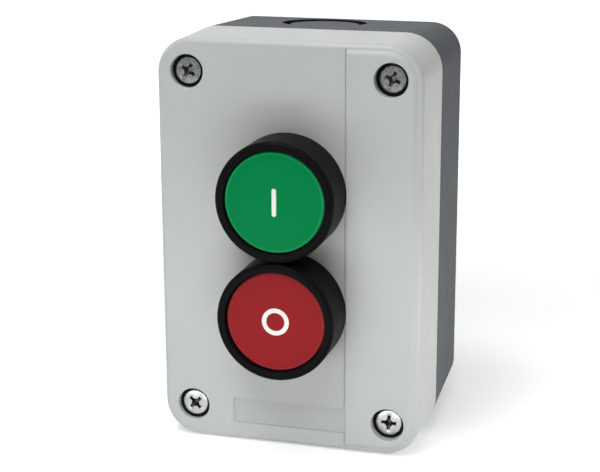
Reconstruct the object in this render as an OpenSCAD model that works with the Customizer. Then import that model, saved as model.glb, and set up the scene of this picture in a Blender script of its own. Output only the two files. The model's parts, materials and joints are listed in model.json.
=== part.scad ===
// Control station with two 22 mm pushbuttons, for surface mounting.
// Pieces are drawn lying on the wall side: x to the right, y up the face, z out of the wall.
// upright() then stands them up, so that the back lies on the plane y = 0 and the front faces -y.

/* [Enclosure] */
// Width at the seam between base and cover
body_w = 69; // [64:0.5:80]
// Height at the seam
body_h = 106; // [100:0.5:125]
// Depth of the base, from the wall to the seam
base_d = 32; // [30:0.5:44]
// Depth of the cover, from the seam to the front
cover_d = 21; // [18:0.5:28]
// Corner radius at the seam
corner_r = 9.5; // [6:0.25:11]
// Thickness of the side walls and of the back
wall_t = 2.4; // [2.1:0.1:2.8]
// Thickness of the cover's front
panel_t = 2.4; // [2:0.1:3]
// How much the base narrows on each side towards the wall
base_draft = 1.4; // [0.2:0.1:2]
// How much the cover narrows on each side towards the front
cover_draft = 0.4; // [0.2:0.1:0.8]
// Radius of the cover's front edge
front_edge_r = 1.4; // [0.6:0.1:2]
// Radius of the base's back edge
back_edge_r = 0.6; // [0.3:0.1:1]
// Thickness of the ribs that tie the base's posts to its walls
rib_t = 1.6; // [1.2:0.1:2.2]
// Distance from the seam down to the top of the ribs
rib_drop = 4; // [2:0.5:10]

/* [Seam] */
// Open line between the rims of base and cover
seam_gap = 0.4; // [0.2:0.05:0.6]
// Thickness of the cover's lip outside the tongue
lip_t = 1.15; // [1:0.05:1.2]
// Height of the base's tongue above the seam
tongue_h = 2; // [1.5:0.1:2.5]
// Thickness of the cover gasket when closed
gasket_t = 1; // [0.8:0.1:1.4]

/* [Front face] */
// Distance from the bezels to the raised strip on their right
strip_gap = 0.1; // [0.1:0.1:5]
// Height of the raised strip
strip_rise = 0.7; // [0.4:0.1:1]
// Width of the strip's sloping border
strip_bevel = 0.9; // [0.6:0.1:1.6]
// Height of the label place, which is as wide as the bezels
label_h = 6.7; // [5:0.1:8]
// Distance from the bottom edge up to the label place's middle
label_up = 8.45; // [7:0.05:10]
// Depth of the label place
label_sink = 0.35; // [0.2:0.05:0.6]

/* [Cover screws] */
// Distance from the box's left or right side to the screws
screw_in_x = 8.3; // [8.1:0.1:9.5]
// Distance from the box's top or bottom side to the screws
screw_in_y = 8.8; // [8.2:0.1:9.5]
// Diameter of the screw head
head_dia = 7; // [6:0.1:7.4]
// Height of the screw head
head_h = 2.6; // [2.2:0.1:3]
// Depth of the head below the front
head_sink = 1.2; // [0.6:0.1:2]
// Length of the arms of the cross recess
cross_l = 4.4; // [3.6:0.1:4.8]
// Width of the arms
cross_w = 1.1; // [0.8:0.1:1.4]
// Depth of the cross recess
cross_d = 1.6; // [1:0.1:1.9]
// Diameter of the screw shank
shank_dia = 4; // [3.5:0.1:4.2]
// How far the shank reaches into its threaded insert
screw_bite = 7.8; // [5:0.2:9]
// Diameter of the counterbore for the head
recess_dia = 8.5; // [8:0.1:9.2]
// Width of the sloping edge around the counterbore
recess_edge = 0.3; // [0.1:0.05:0.5]
// Diameter of the base's posts
post_dia = 9.2; // [8.5:0.1:10]
// Outer diameter of the threaded inserts
insert_dia = 5.6; // [5.2:0.1:6.2]
// Length of the threaded inserts
insert_len = 8; // [6:0.5:10]
// Depth of the post's hole below its insert
insert_room = 2; // [1.5:0.5:5]

/* [Wall mounting] */
// Distance between the mounting holes, left to right
mount_span_x = 36; // [30:0.5:38]
// Distance between the mounting holes, top to bottom
mount_span_y = 76; // [66:0.5:78]
// Diameter of the mounting holes
mount_dia = 4.5; // [3.5:0.1:5.5]
// Outer diameter of the collars around the mounting holes
collar_dia = 9; // [8:0.1:10]
// Height of the collars above the floor
collar_h = 1.2; // [0.8:0.1:3]

/* [Knockouts] */
// Outer diameter of the groove around a knockout
knockout_dia = 22.5; // [18:0.25:23.5]
// Width of the groove
groove_w = 2; // [1:0.1:2.4]
// Thickness of the wall that is left under the groove
groove_web = 0.6; // [0.4:0.1:1]
// Depth of the disc inside the groove
disc_sink = 0.45; // [0.2:0.05:0.8]
// Distance from the wall to the knockouts' middle
knockout_z = 13.2; // [13:0.2:18]
// How far the knockouts lie left of the centre line
knockout_left = 1.5; // [0:0.1:6]

/* [Push buttons] */
// Distance between the two buttons
pitch = 30.5; // [30.5:0.25:34]
// How far the middle of the pair lies below the middle of the box
pair_drop = 0.3; // [0:0.1:3]
// Outer diameter of the threaded barrel
barrel_dia = 22; // [21:0.1:22.6]
// Length of the barrel behind the front
barrel_len = 13; // [12:0.25:17]
// Wall of the barrel at its inner end
barrel_end_t = 2.4; // [2:0.1:2.8]
// Thickness of the ledge that carries the return spring
ledge_t = 1.5; // [1.2:0.1:2]
// Distance from the barrel's end to the ledge
ledge_in = 3; // [2.5:0.1:4]
// Diameter of the bezel
bezel_dia = 30.3; // [28.6:0.1:30.4]
// Height of the bezel above the front
bezel_h = 12.3; // [11.5:0.1:14]
// Radius of the bezel's outer front edge
bezel_edge_r = 1.1; // [0.4:0.1:1.4]
// Width of the anti-turn key on the barrel
key_w = 3; // [2:0.1:4]
// Height of the key above the barrel
key_h = 0.9; // [0.6:0.1:1]
// How far a button travels
travel = 4.3; // [3.5:0.1:4.8]
// Diameter of the caps
cap_dia = 25.5; // [24:0.1:26]
// Depth of the green cap's face below the bezel's front
green_sink = 0.8; // [0.3:0.1:1.4]
// Depth of the red cap's face below the bezel's front
red_sink = 1.2; // [0.3:0.1:1.4]
// Radius of the caps' front edge
cap_edge_r = 0.6; // [0.3:0.05:0.9]
// Height of the caps' skirts, measured from the bezel's front
cap_skirt = 4.4; // [4:0.1:4.8]
// Wall of the caps' skirts
cap_wall = 1.2; // [1:0.1:1.5]
// Height of the plug under a cap
plug_h = 2.2; // [1.8:0.1:2.4]
// Diameter of the pusher
pusher_dia = 17.1; // [16:0.1:17.4]
// Wall of the pusher around its spring
pusher_wall = 0.85; // [0.7:0.05:1]
// Wall of the pusher around the cap's plug
socket_wall = 1.2; // [1:0.1:2]
// Thickness of the pusher's web, which the return spring pushes on
web_t = 1.5; // [1.2:0.1:1.8]
// Distance from the ends of the caps' skirts back to the web
web_in = 0.5; // [0.3:0.1:0.8]
// Room left under the pusher when it is pushed in
pusher_room = 1.2; // [0.6:0.1:2]
// Diameter of the pusher's stem
stem_dia = 10.4; // [9.4:0.1:11]
// Depth of the clip's groove in the stem
clip_groove = 0.9; // [0.6:0.1:1.2]
// Thickness of the retaining clip
clip_t = 0.7; // [0.5:0.1:1]
// Outer diameter of the retaining clip
clip_dia = 14; // [13:0.1:14.4]
// Width of the clip's opening
clip_open = 2.4; // [1.6:0.2:5]
// Room around the clip in the carrier
clip_room = 0.8; // [0.5:0.1:1]

/* [Seals and nuts] */
// Thickness of the seal under the bezel
seal_t = 1; // [0.8:0.1:1.4]
// Width of the seal under the bezel
seal_w = 1.2; // [0.9:0.1:1.4]
// Height of the wiper seal
wiper_h = 1.4; // [1:0.1:1.6]
// Thickness of the wiper's lip
wiper_lip_t = 0.5; // [0.4:0.05:0.6]
// Outer diameter of the fixing nut
nut_dia = 28; // [26:0.1:28.4]
// Thickness of the fixing nut
nut_t = 5; // [4:0.1:5.6]
// Number of grip notches around the nut
nut_notches = 8; // [6:1:12]
// Width of a grip notch
notch_w = 4; // [3:0.5:5]
// Depth of a grip notch
notch_d = 1; // [0.6:0.1:1.6]
// Thickness of the nut's face on the panel, which the notches leave whole
nut_face_t = 1; // [0.6:0.1:1.6]
// Thickness and height of the ring around each nut
nut_ring = 0.8; // [0.5:0.1:0.9]

/* [Contact carriers] */
// Depth from the barrel's end to the contact block
carrier_t = 4; // [3.4:0.1:5]
// Wall of the carrier's collar
carrier_wall = 1.95; // [1.4:0.05:2.5]
// Thickness of the shelf under the barrel's end
shelf_t = 2.5; // [2:0.1:3]
// Thickness of the plate that lies on the block
carrier_plate = 2.8; // [2:0.1:3.2]
// Thickness of the two clip legs
leg_t = 1.4; // [1:0.1:2]
// Width of the legs
leg_w = 6; // [4:0.5:8]
// How far the hooks reach into the block's ends
hook_d = 1; // [0.6:0.1:1.2]
// Thickness of the hooks
hook_t = 1.5; // [1:0.1:2]
// Distance from the block's top down to the hooks
hook_drop = 4; // [3:0.1:6]

/* [Contact blocks] */
// Length of a block, across the box
block_l = 30; // [28.5:0.5:33]
// Width of a block
block_w = 10.8; // [10.2:0.2:13]
// Depth of a block
block_d = 22; // [20.5:0.5:24]
// Thickness of the housing's end walls
block_end = 2; // [1.6:0.1:2.4]
// Thickness of the housing's floor and roof
block_wall = 1.3; // [1:0.1:1.6]
// Thickness of the block's side wall and lid
lid_t = 1.4; // [1.1:0.1:1.6]
// Depth of the rebate in which the lid lies
lid_rebate = 0.6; // [0.4:0.1:0.8]
// Diameter of the terminal screws
terminal_dia = 3.5; // [3:0.1:3.8]
// Diameter of their heads
terminal_head_dia = 5.4; // [4.8:0.1:5.6]
// Height of their heads
terminal_head_h = 1.9; // [1.4:0.1:2.2]
// Width of the heads' slots
slot_w = 0.8; // [0.6:0.1:1.2]
// How far the terminal screws reach past the contact strips
terminal_past = 2; // [1:0.5:3]
// Width of the terminal clamps
clamp_w = 5.6; // [5:0.1:5.8]
// Length of the terminal clamps
clamp_l = 6.8; // [5.6:0.1:7.2]
// Thickness of the terminal clamps
clamp_t = 1; // [0.8:0.1:1.2]
// Room for a wire between clamp and strip
wire_gap = 3.4; // [2.8:0.1:3.6]
// Width of the wire openings
wire_w = 5.2; // [4:0.1:6]
// Height of the wire openings
wire_h = 2.8; // [2:0.1:3.2]
// Diameter of the plunger's rod
rod_dia = 4.8; // [4:0.1:5.4]
// Width of the plunger's cage, along the block
cage_w = 6.4; // [5.8:0.1:6.8]
// Depth of the cage, across the block
cage_d = 5.6; // [5.2:0.1:6]
// Side walls of the cage's window
cage_wall = 0.8; // [0.6:0.1:1]
// Thickness of the cage above its window
cage_roof = 1.3; // [1:0.1:1.8]
// Thickness between the window and the spring room
cage_floor = 0.8; // [0.6:0.1:1.2]
// Depth of the spring room
spring_room_h = 4.6; // [4.4:0.1:5.2]
// Width of the contact strips
strip_w = 6; // [5:0.1:6.6]
// Thickness of the contact strips and bridges
strip_t = 0.8; // [0.5:0.1:0.9]
// Diameter of the contact tips
tip_dia = 2.6; // [2:0.1:3]
// Height of the contact tips
tip_h = 0.6; // [0.4:0.1:0.8]
// Gap between a terminal screw and the nearest contact tip
tip_room = 0.75; // [0.5:0.05:1]
// Share of the travel that the closing bridge makes
closing_share = 0.6; // [0.5:0.05:0.65]
// Share of the travel that the opening bridge makes
opening_share = 0.65; // [0.5:0.05:0.7]

/* [Springs] */
// Wire of the return springs
return_wire = 0.9; // [0.6:0.1:1.1]
// Turns of the return springs
return_turns = 6; // [5:0.5:7]
// Wire of the plunger springs
plunger_wire = 0.4; // [0.3:0.05:0.5]
// Turns of the plunger springs
plunger_turns = 6; // [4:0.5:7]
// Wire of the bridge springs
bridge_wire = 0.35; // [0.25:0.05:0.4]
// Turns of the bridge springs
bridge_turns = 5; // [4:0.5:6]

/* [Clearances] */
// Gap around a piece that slides
slide_gap = 0.2; // [0.15:0.01:0.25]
// Gap around a piece that is seated
seat_gap = 0.1; // [0.05:0.01:0.12]
// Gap around a piece that plugs in or is screwed on
fit_gap = 0.05; // [0.03:0.01:0.08]
// Gap at the stops of the sliding pieces, and between stem and plunger
stop_gap = 0.25; // [0.2:0.05:0.3]
// Gap between a barrel and its hole in the cover
hole_gap = 0.15; // [0.1:0.05:0.3]
// Gap around and below the head of a terminal screw
well_gap = 0.3; // [0.2:0.05:0.4]
// Gap between a coil spring and the wall around it
coil_gap = 0.3; // [0.2:0.05:0.4]
// Gap between a nut and the carrier's collar
nut_gap = 0.8; // [0.4:0.1:1.2]

/* [Hidden] */

// How finely round things are drawn
round_fn = 64;
corner_fn = 48;
small_fn = 32;
// How far a cutting shape reaches past the surface that it cuts
over = 0.5;
// How far a boss or tip sinks into the piece that it grows from
root = 0.1;
// Small chamfer on the ends of moulded and turned pieces
end_edge = 0.4;
// Smallest corner radius that is left when an outline moves in
least_corner_r = 0.5;
// Steps of a rounded edge, and of one turn of a large or a small spring
edge_steps = 6;
large_coil_steps = 20;
small_coil_steps = 12;
// Sides of the springs' wire
wire_sides = 6;
// Height of a spring's closed turn, in wire diameters
closed_turn = 1.02;

// Colours
light_grey = [0.74, 0.75, 0.73];
dark_grey = [0.38, 0.40, 0.42];
black = [0.10, 0.10, 0.11];
green = [0.02, 0.50, 0.26];
red = [0.60, 0.15, 0.16];
zinc = [0.72, 0.72, 0.70];
brass = [0.80, 0.65, 0.30];
copper = [0.80, 0.48, 0.30];
rubber = [0.18, 0.18, 0.19];
white = [0.86, 0.86, 0.83];
steel = [0.62, 0.63, 0.65];

// Levels of the enclosure, measured from the wall
front_z = base_d + cover_d;
cover_back_z = base_d + seam_gap;
tongue_top_z = base_d + tongue_h;
gasket_top_z = tongue_top_z + gasket_t;
panel_back_z = front_z - panel_t;
strip_top_z = front_z + strip_rise;
head_seat_z = front_z - head_sink - head_h;
nut_low_z = panel_back_z - nut_t;

// The cover's bosses are wide enough to grow into both side walls
boss_r = max(screw_in_x, screw_in_y) - wall_t + root;

// Places of the buttons, and of the step beside them
start_y = pitch / 2 - pair_drop;
stop_y = -pitch / 2 - pair_drop;
strip_x = bezel_dia / 2 + strip_gap;

// Levels of the buttons
bezel_top_z = front_z + bezel_h;
skirt_z = bezel_top_z - cap_skirt;
pocket_z = skirt_z - travel - 2 * seat_gap;
barrel_end_z = front_z - barrel_len;
ledge_z = barrel_end_z + ledge_in;
spring_low_z = ledge_z + ledge_t;
web_z = skirt_z - web_in - web_t;
pusher_low_z = spring_low_z + travel + pusher_room;
cap_roof_z = web_z + web_t + seat_gap + plug_h;
clip_top_z = ledge_z - stop_gap;

// Radii of the buttons
barrel_r = barrel_dia / 2;
guide_r = pusher_dia / 2 + slide_gap;
stem_r = stem_dia / 2;
neck_r = stem_r - clip_groove;
plug_r = pusher_dia / 2 - socket_wall;
spring_bore_r = pusher_dia / 2 - pusher_wall;
skirt_in_r = cap_dia / 2 - cap_wall;
seal_in_r = barrel_r + key_h + 2 * seat_gap;
seal_out_r = seal_in_r + seal_w;

// Levels of carrier, contact block and plunger
block_top_z = barrel_end_z - carrier_t;
block_low_z = block_top_z - block_d;
roof_z = block_top_z - block_wall;
floor_z = block_low_z + block_wall;
stem_end_z = block_top_z + travel + stop_gap;
cage_top_z = roof_z - stop_gap;
cage_low_z = floor_z + travel + stop_gap;
cage_seat_z = cage_low_z + spring_room_h;
window_low_z = cage_seat_z + cage_floor;
window_top_z = cage_top_z - cage_roof;
window_half = cage_d / 2 - cage_wall;
spring_room_r = window_half + root;
hook_z = block_top_z - hook_drop;

// Places of the terminals and contacts, measured from the block's middle
inner_x = block_l / 2 - block_end;
lid_in_y = block_w / 2 - lid_t;
terminal_x = inner_x - clamp_w / 2 - slide_gap;
tip_x = terminal_x - terminal_dia / 2 - tip_room - tip_dia / 2;
strip_in_x = tip_x - tip_dia / 2 - seat_gap;
bridge_half = tip_x + tip_dia / 2 + seat_gap;
well_r = terminal_head_dia / 2 + well_gap;
rest_out_x = terminal_x - well_r - seat_gap;

// Levels of the terminals and contacts
terminal_low_z = block_low_z + well_gap;
clamp_low_z = terminal_low_z + terminal_head_h;
strip_z = clamp_low_z + clamp_t + wire_gap;
start_bridge_z = window_low_z + fit_gap;
start_fixed_z = start_bridge_z - tip_h - closing_share * travel - fit_gap;
stop_bridge_z = window_top_z - (1 - opening_share) * travel - fit_gap - strip_t;
stop_fixed_z = stop_bridge_z + strip_t + tip_h + fit_gap;

// Corner radius when an outline moves in
function inset_r(r, inset) = max(r - inset, least_corner_r);

// Points of an arc about (cx, cz), between two angles
function arc(cx, cz, r, from, to, steps) =
    [for (i = [0:steps]) let (a = from + (to - from) * i / steps) [cx + r * cos(a), cz + r * sin(a)]];

module upright() rotate([90, 0, 0]) children();

// The four corner centres of a rounded box
module at_corners(w, h, r) {
    for (sx = [-1, 1], sy = [-1, 1])
        translate([sx * (w / 2 - r), sy * (h / 2 - r), 0]) children();
}

module at_screws() {
    at_corners(body_w - 2 * screw_in_x, body_h - 2 * screw_in_y, 0) children();
}

module at_mount_holes() {
    at_corners(mount_span_x, mount_span_y, 0) children();
}

module at_buttons() {
    for (y = [start_y, stop_y]) translate([0, y, 0]) children();
}

// The same thing on the right and, turned over, on the left
module both_ends() {
    for (side = [-1, 1]) scale([side, 1, 1]) children();
}

// Flat plate with round corners, from z0 to z1
module plate(w, h, r, z0, z1) {
    translate([0, 0, z0]) linear_extrude(z1 - z0) {
        square([w - 2 * r, h], center = true);
        square([w, h - 2 * r], center = true);
        at_corners(w, h, r) circle(r, $fn = round_fn);
    }
}

// The plate that is left when the box's outline at the seam moves in by an inset
module inset_plate(inset, z0, z1) {
    plate(body_w - 2 * inset, body_h - 2 * inset, inset_r(corner_r, inset), z0, z1);
}

// Closed band along the walls, between two insets from the outline at the seam
module band(inset_out, inset_in, z0, z1) {
    difference() {
        inset_plate(inset_out, z0, z1);
        inset_plate(inset_in, z0 - over, z1 + over);
    }
}

// Box with round corners and sides that lean in, from inset a at z0 to inset b at z1
module drafted(inset_a, inset_b, z0, z1) {
    hull() at_corners(body_w, body_h, corner_r)
        translate([0, 0, z0]) cylinder(h = z1 - z0, r1 = inset_r(corner_r, inset_a),
                                       r2 = inset_r(corner_r, inset_b), $fn = corner_fn);
}

module rod(r, z0, z1, fn = round_fn) {
    translate([0, 0, z0]) cylinder(h = z1 - z0, r = r, $fn = fn);
}

module tube(r_out, r_in, z0, z1, fn = round_fn) {
    difference() {
        rod(r_out, z0, z1, fn);
        rod(r_in, z0 - over, z1 + over, fn);
    }
}

module block(x0, x1, y0, y1, z0, z1) {
    translate([x0, y0, z0]) cube([x1 - x0, y1 - y0, z1 - z0]);
}

// Corner column of the base, round at its back edge
module base_corner() {
    back_r = corner_r - base_draft;
    rotate_extrude($fn = corner_fn) polygon(concat(
        [[0, 0]],
        arc(back_r - back_edge_r, back_edge_r, back_edge_r, -90, 0, edge_steps / 2),
        [[corner_r, base_d], [0, base_d]]));
}

// Knockout cut into the top wall (side = 1) or the bottom wall (side = -1)
module knockout_cut(side) {
    surface_y = body_h / 2 - base_draft * (1 - knockout_z / base_d);
    lean = atan(base_draft / base_d);
    r = knockout_dia / 2;
    outside_z = -over - wall_t / 2;
    translate([-knockout_left, side * surface_y, knockout_z]) rotate([side * (90 - lean), 0, 0]) {
        tube(r, r - groove_w, outside_z, wall_t - groove_web);
        rod(r, outside_z, disc_sink);
    }
}

// Post of one corner with its two ribs, drawn in the corner where x and y are positive
module base_post() {
    x = body_w / 2 - screw_in_x;
    y = body_h / 2 - screw_in_y;
    wall_in = base_draft + wall_t / 2;
    low_z = wall_t - over;
    translate([x, y, 0]) rod(post_dia / 2, low_z, base_d, small_fn);
    block(x, body_w / 2 - wall_in, y - rib_t / 2, y + rib_t / 2, low_z, base_d - rib_drop);
    block(x - rib_t / 2, x + rib_t / 2, y, body_h / 2 - wall_in, low_z, base_d - rib_drop);
}

module base() {
    collar_top_z = wall_t + collar_h;
    color(dark_grey) upright() difference() {
        union() {
            difference() {
                hull() at_corners(body_w, body_h, corner_r) base_corner();
                drafted(base_draft + wall_t, wall_t, wall_t, base_d + over);
            }
            band(lip_t + seat_gap, wall_t, base_d - over, tongue_top_z);
            for (sx = [-1, 1], sy = [-1, 1]) scale([sx, sy, 1]) base_post();
            at_mount_holes() rod(collar_dia / 2, wall_t - over, collar_top_z, small_fn);
        }
        at_screws() rod(insert_dia / 2 + fit_gap, base_d - insert_len - insert_room, base_d + over, small_fn);
        at_mount_holes() rod(mount_dia / 2, -over, collar_top_z + over, small_fn);
        for (side = [-1, 1]) knockout_cut(side);
    }
}

// Corner column of the cover, round at its front edge
module cover_corner() {
    front_r = corner_r - cover_draft;
    rotate_extrude($fn = corner_fn) polygon(concat(
        [[0, cover_back_z], [corner_r, cover_back_z]],
        arc(front_r - front_edge_r, front_z - front_edge_r, front_edge_r, 0, 90, edge_steps),
        [[0, front_z]]));
}

// The raised strip with its sloping border, before it is cut off beside the buttons
module strip_block() {
    foot_inset = cover_draft + front_edge_r;
    hull() {
        inset_plate(foot_inset, front_z - over, front_z);
        inset_plate(foot_inset + strip_bevel, front_z, strip_top_z);
    }
}

// Counterbores and shank holes; the two on the right start on the raised strip
module screw_holes() {
    r = recess_dia / 2;
    at_screws() {
        rod(shank_dia / 2 + slide_gap, cover_back_z - over, front_z, small_fn);
        rod(r, head_seat_z, strip_top_z + over, small_fn);
    }
    for (sx = [-1, 1], sy = [-1, 1])
        translate([sx * (body_w / 2 - screw_in_x), sy * (body_h / 2 - screw_in_y),
                   (sx > 0 ? strip_top_z : front_z) - recess_edge])
            cylinder(h = 2 * recess_edge, r1 = r, r2 = r + 2 * recess_edge, $fn = small_fn);
}

// Holes for the barrels and the keys beside them
module barrel_holes() {
    at_buttons() {
        rod(barrel_r + hole_gap, panel_back_z - over, front_z + over);
        block(-key_w / 2 - slide_gap, key_w / 2 + slide_gap, 0, barrel_r + key_h + slide_gap,
              panel_back_z - over, front_z + over);
    }
}

module cover() {
    ring_r = nut_dia / 2 + slide_gap;
    label_y = label_up - body_h / 2;
    color(light_grey) upright() difference() {
        union() {
            difference() {
                hull() at_corners(body_w, body_h, corner_r) cover_corner();
                drafted(wall_t, wall_t + cover_draft, cover_back_z - over, panel_back_z);
            }
            intersection() {
                strip_block();
                block(strip_x, body_w, -body_h, body_h, front_z - over, strip_top_z + over);
            }
            at_screws() rod(boss_r, cover_back_z, panel_back_z + over, small_fn);
            at_buttons() tube(ring_r + nut_ring, ring_r, panel_back_z - nut_ring, panel_back_z + over);
        }
        band(lip_t, wall_t + over, cover_back_z - over, gasket_top_z);
        screw_holes();
        barrel_holes();
        block(-bezel_dia / 2, strip_x, label_y - label_h / 2, label_y + label_h / 2,
              front_z - label_sink, front_z + over);
    }
}

module cover_gasket() {
    color(rubber) upright() band(lip_t + seat_gap, wall_t, tongue_top_z, gasket_top_z);
}

module cover_screws() {
    head_top_z = head_seat_z + head_h;
    color(zinc) upright() at_screws() {
        difference() {
            rod(head_dia / 2, head_seat_z, head_top_z, small_fn);
            for (turn = [0, 90]) rotate([0, 0, turn])
                block(-cross_l / 2, cross_l / 2, -cross_w / 2, cross_w / 2,
                      head_top_z - cross_d, head_top_z + over);
        }
        rod(shank_dia / 2, base_d - screw_bite, head_seat_z + root, small_fn);
    }
}

module screw_inserts() {
    color(brass) upright() at_screws()
        tube(insert_dia / 2, shank_dia / 2 + fit_gap, base_d - insert_len, base_d, small_fn);
}

// Bezel ring and barrel, one moulding
module bezel(y) {
    ring_r = bezel_dia / 2;
    pocket_r = cap_dia / 2 + slide_gap;
    edge_r = min(bezel_edge_r, ring_r - pocket_r - end_edge - root);
    end_r = barrel_r - barrel_end_t;
    color(black) upright() translate([0, y, 0]) {
        rotate_extrude($fn = round_fn) polygon(concat(
            [[seal_out_r + seat_gap, front_z + seal_t], [seal_out_r + seat_gap, front_z],
             [ring_r, front_z]],
            arc(ring_r - edge_r, bezel_top_z - edge_r, edge_r, 0, 90, edge_steps),
            [[pocket_r + end_edge, bezel_top_z], [pocket_r, bezel_top_z - end_edge],
             [pocket_r, pocket_z], [guide_r, pocket_z], [guide_r, spring_low_z],
             [stem_r + slide_gap, spring_low_z], [stem_r + slide_gap, ledge_z],
             [end_r, ledge_z], [end_r, barrel_end_z],
             [barrel_r - end_edge, barrel_end_z], [barrel_r, barrel_end_z + end_edge],
             [barrel_r, front_z + seal_t]]));
        block(-key_w / 2, key_w / 2, barrel_r - over, barrel_r + key_h, panel_back_z, front_z + seal_t);
    }
}

module panel_seal(y) {
    color(rubber) upright() translate([0, y, 0]) tube(seal_out_r, seal_in_r, front_z, front_z + seal_t);
}

// Ring with a thin lip that leans against the pusher
module wiper_seal(y) {
    out_r = skirt_in_r - stop_gap - seat_gap;
    top_z = pocket_z + wiper_h;
    step_z = top_z - wiper_lip_t;
    color(rubber) upright() translate([0, y, 0]) rotate_extrude($fn = round_fn)
        polygon([[guide_r, top_z], [guide_r + wiper_lip_t, pocket_z], [out_r, pocket_z], [out_r, step_z],
                 [guide_r + 2 * wiper_lip_t, step_z], [guide_r + wiper_lip_t, top_z]]);
}

// Coloured cap: a shallow cup with a plug that fits in the pusher
module cap(y, tint, sink) {
    r = cap_dia / 2;
    top_z = bezel_top_z - sink;
    plug_low_z = web_z + web_t + seat_gap;
    color(tint) upright() translate([0, y, 0]) rotate_extrude($fn = round_fn) polygon(concat(
        [[0, plug_low_z], [plug_r, plug_low_z], [plug_r, cap_roof_z],
         [skirt_in_r, cap_roof_z], [skirt_in_r, skirt_z], [r, skirt_z]],
        arc(r - cap_edge_r, top_z - cap_edge_r, cap_edge_r, 0, 90, edge_steps),
        [[0, top_z]]));
}

module pusher(y) {
    r = pusher_dia / 2;
    socket_r = plug_r + fit_gap;
    clip_low_z = clip_top_z - clip_t;
    color(white) upright() translate([0, y, 0]) rotate_extrude($fn = round_fn) polygon([
        [0, stem_end_z], [stem_r - end_edge, stem_end_z], [stem_r, stem_end_z + end_edge],
        [stem_r, clip_low_z], [neck_r, clip_low_z], [neck_r, clip_top_z], [stem_r, clip_top_z],
        [stem_r, web_z], [spring_bore_r, web_z], [spring_bore_r, pusher_low_z], [r, pusher_low_z],
        [r, cap_roof_z], [socket_r, cap_roof_z], [socket_r, web_z + web_t],
        [0, web_z + web_t]]);
}

// Open retaining ring in the stem's groove
module clip(y) {
    color(steel) upright() translate([0, y, 0]) difference() {
        tube(clip_dia / 2, neck_r + fit_gap, clip_top_z - clip_t, clip_top_z);
        block(-clip_open / 2, clip_open / 2, -clip_dia, 0, clip_top_z - 2 * clip_t, clip_top_z + clip_t);
    }
}

// Round nut with grip notches, which stop short of the face on the panel
module nut(y) {
    r = nut_dia / 2;
    color(black) upright() translate([0, y, 0]) difference() {
        tube(r, barrel_r + fit_gap, nut_low_z, panel_back_z);
        for (i = [1:nut_notches]) rotate([0, 0, (i - 1 / 2) * 360 / nut_notches])
            block(r - notch_d, r + over, -notch_w / 2, notch_w / 2,
                  nut_low_z - over, panel_back_z - nut_face_t);
    }
}

// Collar on the barrel's end, with a plate and two clip legs that hold the contact block
module contact_carrier(y) {
    collar_r = barrel_r + fit_gap + carrier_wall;
    leg_x = block_l / 2 + seat_gap;
    color(dark_grey) upright() translate([0, y, 0]) difference() {
        union() {
            tube(collar_r, barrel_r + fit_gap, barrel_end_z - over, nut_low_z - nut_gap);
            rod(collar_r, barrel_end_z - shelf_t, barrel_end_z);
            block(-leg_x - leg_t, leg_x + leg_t, -block_w / 2, block_w / 2,
                  block_top_z, block_top_z + carrier_plate);
            both_ends() {
                block(leg_x, leg_x + leg_t, -leg_w / 2, leg_w / 2, hook_z - hook_t, block_top_z + over);
                block(leg_x - hook_d, leg_x + over, -leg_w / 2, leg_w / 2, hook_z - hook_t, hook_z);
            }
        }
        rod(clip_dia / 2 + clip_room, block_top_z - over, barrel_end_z + over);
    }
}

// Room inside a block, grown on all sides by an amount
module block_room(grow, y0, y1) {
    block(-inner_x - grow, inner_x + grow, y0, y1, floor_z - grow, roof_z + grow);
}

// Ledge under a contact strip, and the one over it in the block whose contacts open
module strip_rests(normally_open) {
    low_x = cage_w / 2 + stop_gap;
    block(low_x, rest_out_x, -lid_in_y - over, lid_in_y, floor_z - over, strip_z);
    if (!normally_open)
        block(strip_in_x, inner_x + over, -lid_in_y - over, lid_in_y,
              stop_fixed_z + tip_h + strip_t, roof_z + over);
}

// Screw well, wire opening, hook notch and strip groove at one end of a block
module terminal_cuts() {
    half_l = block_l / 2;
    half_notch = leg_w / 2 + slide_gap;
    half_strip = strip_w / 2 + seat_gap;
    translate([terminal_x, 0, 0]) rod(well_r, block_low_z - over, floor_z + over, small_fn);
    block(inner_x - over, half_l + over, -wire_w / 2, wire_w / 2,
          strip_z - wire_gap, strip_z - wire_gap + wire_h);
    block(half_l - hook_d, half_l + over, -half_notch, half_notch,
          hook_z - hook_t - slide_gap, hook_z + slide_gap);
    block(inner_x - over, inner_x + hook_d, -half_strip, half_strip, strip_z, strip_z + strip_t + seat_gap);
}

module contact_housing(y, normally_open) {
    half_l = block_l / 2;
    half_w = block_w / 2;
    color(black) upright() translate([0, y, 0]) difference() {
        union() {
            difference() {
                block(-half_l, half_l, -half_w, half_w, block_low_z, block_top_z);
                block_room(0, -lid_in_y, lid_in_y + over);
                block_room(lid_rebate, lid_in_y, half_w + over);
            }
            both_ends() strip_rests(normally_open);
        }
        rod(rod_dia / 2 + slide_gap, roof_z - over, block_top_z + over, small_fn);
        both_ends() terminal_cuts();
    }
}

module contact_lid(y) {
    color(black) upright() translate([0, y, 0])
        block_room(lid_rebate - seat_gap, lid_in_y + seat_gap / 2, block_w / 2);
}

// Rod with a cage: the bridge sits in the cage's window, the plunger spring in the room below
module contact_plunger(y, tint) {
    half_w = cage_w / 2;
    half_d = cage_d / 2;
    color(tint) upright() translate([0, y, 0]) {
        rod(rod_dia / 2, cage_top_z - root, stem_end_z - stop_gap, small_fn);
        difference() {
            block(-half_w, half_w, -half_d, half_d, cage_low_z, cage_top_z);
            block(-half_w - over, half_w + over, -window_half, window_half, window_low_z, window_top_z);
            rod(spring_room_r, cage_low_z - over, cage_seat_z, small_fn);
        }
    }
}

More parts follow.
